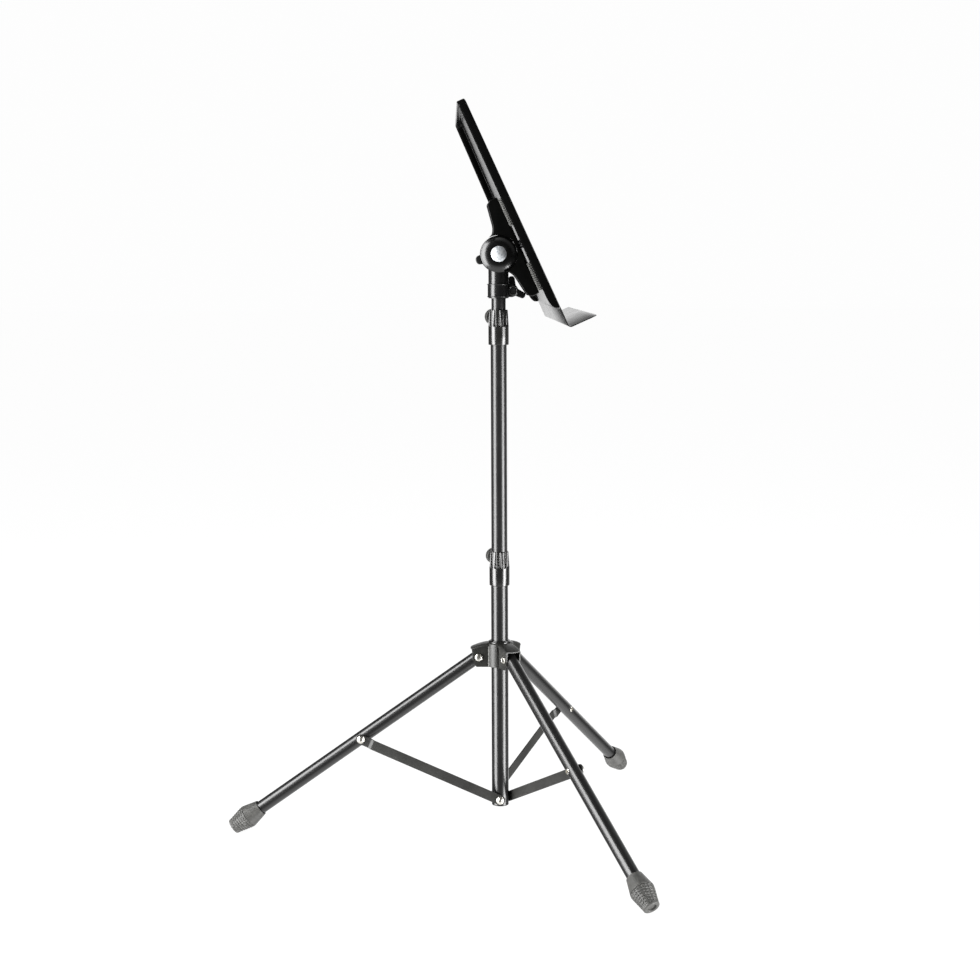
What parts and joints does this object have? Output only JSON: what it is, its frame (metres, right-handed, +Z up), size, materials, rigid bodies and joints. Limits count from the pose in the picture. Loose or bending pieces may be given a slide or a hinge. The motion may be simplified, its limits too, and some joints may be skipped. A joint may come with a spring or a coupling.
{
  "type": "music stand",
  "caption": "Tripod music stand: folding legs with braces, telescoping column with clamp clutches, swivel head and a tilting sheet-metal desk with a ledge.",
  "frame": {"origin": "the point on the floor under the column's axis, where the three feet stand", "axes": "+Z up along the column; the desk faces -Y, where the reader stands; +X is across the desk"},
  "size_m": [0.7272, 0.6468, 1.0911],
  "materials": {
    "tube_black": "smooth semi-gloss black powder coat on steel tube",
    "brace_black": "satin black coated flat steel bar",
    "hub_black": "fine-textured semi-gloss black coated pressing",
    "neck_black": "gloss black coated steel",
    "bracket_black": "satin black coated casting with polished round cheeks",
    "desk_black": "semi-gloss black powder coat on folded sheet steel",
    "clutch_black": "moulded gloss black plastic",
    "knob_black": "grained matte black plastic",
    "plug_plastic": "plain moulded black plastic",
    "pad_plastic": "natural nylon",
    "foot_rubber": "moulded grey rubber with block tread",
    "rivet_nickel": "nickel-plated domed rivets",
    "bolt_chrome": "bright zinc-chrome plated bolt",
    "zinc_steel": "zinc-plated steel",
    "screw_black": "black oxide screw"
  },
  "bodies": {
    "base": {"lower_tube": "tube_black", "lower_tube_cap": "plug_plastic", "brace_anchor_rivets": "rivet_nickel", "lower_clutch_sleeve": "clutch_black", "lower_clutch_pad": "pad_plastic", "lower_clutch_nut": "zinc_steel"},
    "lower_knob": {"lower_clutch_screw": "zinc_steel", "lower_clutch_knob": "knob_black"},
    "hub": {"hub": "hub_black", "hub_bush": "plug_plastic", "leg_pivot_rivets": "rivet_nickel", "hub_lock_nut": "zinc_steel", "hub_lock_pad": "pad_plastic"},
    "hub_knob": {"hub_lock_screw": "zinc_steel", "hub_lock_knob": "knob_black"},
    "middle_column": {"middle_tube": "tube_black", "middle_tube_plug": "plug_plastic", "upper_clutch_sleeve": "clutch_black", "upper_clutch_pad": "pad_plastic", "upper_clutch_nut": "zinc_steel"},
    "upper_knob": {"upper_clutch_screw": "zinc_steel", "upper_clutch_knob": "knob_black"},
    "upper_column": {"upper_tube": "tube_black", "upper_tube_plug": "plug_plastic"},
    "head": {"neck": "neck_black", "neck_clamp": "neck_black", "neck_clamp_bolt": "zinc_steel", "tilt_friction_washers": "plug_plastic"},
    "head_knob": {"neck_clamp_knob": "knob_black"},
    "desk": {"bracket": "bracket_black", "tilt_bolt": "bolt_chrome", "tilt_steel_washer": "zinc_steel", "upper_mounting_plate": "zinc_steel", "lower_mounting_plate": "zinc_steel", "desk_spacer": "zinc_steel", "desk_screws": "screw_black", "desk_nuts": "zinc_steel", "desk": "desk_black"},
    "tilt_knob": {"tilt_knob": "knob_black"},
    "rear_leg": {"rear_leg": "tube_black", "rear_foot": "foot_rubber", "rear_brace_rivet": "rivet_nickel"},
    "rear_brace": {"rear_brace": "brace_black"},
    "left_leg": {"left_leg": "tube_black", "left_foot": "foot_rubber", "left_brace_rivet": "rivet_nickel"},
    "left_brace": {"left_brace": "brace_black"},
    "right_leg": {"right_leg": "tube_black", "right_foot": "foot_rubber", "right_brace_rivet": "rivet_nickel"},
    "right_brace": {"right_brace": "brace_black"}
  },
  "joints": [
    {"name": "hub_slide", "type": "slide", "parent": "base", "child": "hub", "axis": [0, 0, 1], "range_m": [0, 0.08]},
    {"name": "hub_knob_turn", "type": "hinge", "parent": "hub", "child": "hub_knob", "pos_m": [0, 0, 0.281], "axis": [0.8846, 0.4664, 0], "range_deg": [0, 360]},
    {"name": "lower_knob_turn", "type": "hinge", "parent": "base", "child": "lower_knob", "pos_m": [0, 0, 0.4268], "axis": [0.9563, 0.2924, 0], "range_deg": [0, 360]},
    {"name": "middle_slide", "type": "slide", "parent": "base", "child": "middle_column", "axis": [0, 0, 1], "range_m": [-0.295, 0.02]},
    {"name": "upper_knob_turn", "type": "hinge", "parent": "middle_column", "child": "upper_knob", "pos_m": [0, 0, 0.7894], "axis": [0.9563, 0.2924, 0], "range_deg": [0, 360]},
    {"name": "upper_slide", "type": "slide", "parent": "middle_column", "child": "upper_column", "axis": [0, 0, 1], "range_m": [-0.015, 0.29]},
    {"name": "head_swivel", "type": "hinge", "parent": "upper_column", "child": "head", "pos_m": [0, 0, 0.83], "axis": [0, 0, 1], "continuous": true},
    {"name": "head_knob_turn", "type": "hinge", "parent": "head", "child": "head_knob", "pos_m": [0, -0.0214, 0.8288], "axis": [1, 0, 0], "range_deg": [0, 360]},
    {"name": "desk_tilt", "type": "hinge", "parent": "head", "child": "desk", "pos_m": [0, 0, 0.8823], "axis": [-1, 0, 0], "range_deg": [-5, 66]},
    {"name": "tilt_knob_turn", "type": "hinge", "parent": "desk", "child": "tilt_knob", "pos_m": [0, 0, 0.8823], "axis": [1, 0, 0], "range_deg": [0, 360]},
    {"name": "rear_leg_fold", "type": "hinge", "parent": "hub", "child": "rear_leg", "pos_m": [0.00122, 0.03178, 0.2768], "axis": [-0.9993, 0.0384, 0], "range_deg": [0, 11.5]},
    {"name": "rear_brace_fold", "type": "hinge", "parent": "base", "child": "rear_brace", "pos_m": [0, 0, 0.0548], "axis": [-0.9993, 0.0384, 0], "range_deg": [-14.2, 0]},
    {"name": "left_leg_fold", "type": "hinge", "parent": "hub", "child": "left_leg", "pos_m": [-0.02813, -0.01483, 0.2768], "axis": [0.4664, -0.8846, 0], "range_deg": [0, 11.5]},
    {"name": "left_brace_fold", "type": "hinge", "parent": "base", "child": "left_brace", "pos_m": [0, 0, 0.0548], "axis": [0.4664, -0.8846, 0], "range_deg": [-14.2, 0]},
    {"name": "right_leg_fold", "type": "hinge", "parent": "hub", "child": "right_leg", "pos_m": [0.02691, -0.01695, 0.2768], "axis": [0.5329, 0.8462, 0], "range_deg": [0, 11.5]},
    {"name": "right_brace_fold", "type": "hinge", "parent": "base", "child": "right_brace", "pos_m": [0, 0, 0.0548], "axis": [0.5329, 0.8462, 0], "range_deg": [-14.2, 0]}
  ],
  "couplings": [
    {"joint": "rear_leg_fold", "follows": "hub_slide", "rad_per_m": 2.3988},
    {"joint": "rear_brace_fold", "follows": "hub_slide", "rad_per_m": -2.9428},
    {"joint": "left_leg_fold", "follows": "hub_slide", "rad_per_m": 2.3988},
    {"joint": "left_brace_fold", "follows": "hub_slide", "rad_per_m": -2.9428},
    {"joint": "right_leg_fold", "follows": "hub_slide", "rad_per_m": 2.3988},
    {"joint": "right_brace_fold", "follows": "hub_slide", "rad_per_m": -2.9428}
  ]
}
